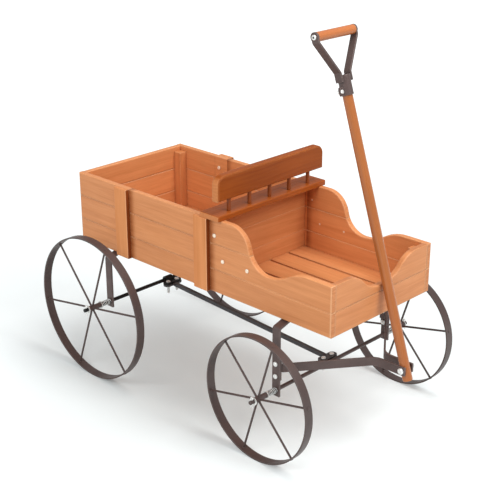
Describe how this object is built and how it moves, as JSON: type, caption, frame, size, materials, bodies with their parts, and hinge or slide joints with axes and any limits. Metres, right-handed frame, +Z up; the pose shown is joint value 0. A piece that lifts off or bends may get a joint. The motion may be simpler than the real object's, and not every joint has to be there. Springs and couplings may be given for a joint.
{
  "type": "flower cart stand",
  "caption": "Wooden wagon-shaped plant stand with a seat between its two planter beds, strip-iron spoked wheels, a reach bar and a pull handle that leans on the front board.",
  "frame": {"origin": "on the ground, at the middle of the whole cart's length and width", "axes": "+X is the way the cart is pulled, towards the pull handle's pivot; +Y is its left side; +Z is up"},
  "size_m": [0.6315, 0.36, 0.5942],
  "materials": {
    "side_wood": "stained softwood, satin",
    "cross_wood": "stained softwood, satin",
    "seat_wood": "stained softwood, satin",
    "upright_wood": "stained softwood, satin",
    "floor_wood": "stained softwood, satin",
    "spindle_wood": "stained hardwood dowel",
    "pole_wood": "stained hardwood dowel, satin",
    "grip_wood": "stained hardwood dowel, satin",
    "rim_iron": "dark brown coating, satin",
    "spoke_iron": "dark brown coating, satin",
    "frame_iron": "dark brown coating, satin",
    "handle_iron": "dark brown coating, satin",
    "zinc_fastener": "bright zinc",
    "wood_screw": "yellow zinc",
    "spring_steel": "bright zinc"
  },
  "bodies": {
    "chassis": {"axle_springs": "spring_steel", "axle_washers": "zinc_fastener", "backrest": "seat_wood", "backrest_spindles": "spindle_wood", "batten_left_front": "upright_wood", "batten_left_rear": "upright_wood", "batten_right_front": "upright_wood", "batten_right_rear": "upright_wood", "batten_screws": "wood_screw", "bracket_screws": "wood_screw", "clamp_bolts": "zinc_fastener", "corner_posts": "upright_wood", "divider_boards": "cross_wood", "floor_slats": "floor_wood", "front_axle": "frame_iron", "front_axle_clamp": "frame_iron", "front_bracket": "frame_iron", "front_end_board_lower": "cross_wood", "front_end_board_middle": "cross_wood", "pivot_bolt": "zinc_fastener", "reach_bar": "frame_iron", "rear_axle": "frame_iron", "rear_axle_clamp": "frame_iron", "rear_bracket": "frame_iron", "rear_end_board_lower": "cross_wood", "rear_end_board_middle": "cross_wood", "rear_end_board_top": "cross_wood", "seat_board": "seat_wood", "side_board_left_lower": "side_wood", "side_board_left_middle": "side_wood", "side_board_left_top": "side_wood", "side_board_right_lower": "side_wood", "side_board_right_middle": "side_wood", "side_board_right_top": "side_wood", "side_screws": "wood_screw", "split_pins": "zinc_fastener", "yoke_arm_left": "frame_iron", "yoke_arm_right": "frame_iron", "yoke_bolts": "zinc_fastener"},
    "wheel_rear_left": {"rear_wheel_left_rim": "rim_iron", "rear_wheel_left_spokes": "spoke_iron", "rear_wheel_left_hub": "spoke_iron"},
    "wheel_rear_right": {"rear_wheel_right_rim": "rim_iron", "rear_wheel_right_spokes": "spoke_iron", "rear_wheel_right_hub": "spoke_iron"},
    "wheel_front_left": {"front_wheel_left_rim": "rim_iron", "front_wheel_left_spokes": "spoke_iron", "front_wheel_left_hub": "spoke_iron"},
    "wheel_front_right": {"front_wheel_right_rim": "rim_iron", "front_wheel_right_spokes": "spoke_iron", "front_wheel_right_hub": "spoke_iron"},
    "pull_handle": {"handle_pole": "pole_wood", "handle_socket": "handle_iron", "handle_arm_left": "handle_iron", "handle_arm_right": "handle_iron", "handle_grip": "grip_wood", "grip_bolt": "zinc_fastener", "socket_screw": "zinc_fastener"}
  },
  "joints": [
    {"name": "rear_left_wheel_spin", "type": "hinge", "parent": "chassis", "child": "wheel_rear_left", "pos_m": [-0.19692, 0.164, 0.119], "axis": [0, 1, 0], "continuous": true},
    {"name": "rear_right_wheel_spin", "type": "hinge", "parent": "chassis", "child": "wheel_rear_right", "pos_m": [-0.19692, -0.164, 0.119], "axis": [0, 1, 0], "continuous": true},
    {"name": "front_left_wheel_spin", "type": "hinge", "parent": "chassis", "child": "wheel_front_left", "pos_m": [0.17108, 0.164, 0.0965], "axis": [0, 1, 0], "continuous": true},
    {"name": "front_right_wheel_spin", "type": "hinge", "parent": "chassis", "child": "wheel_front_right", "pos_m": [0.17108, -0.164, 0.0965], "axis": [0, 1, 0], "continuous": true},
    {"name": "handle_swing", "type": "hinge", "parent": "chassis", "child": "pull_handle", "pos_m": [0.30358, 0, 0.131], "axis": [0, 1, 0], "range_deg": [0, 122]}
  ]
}
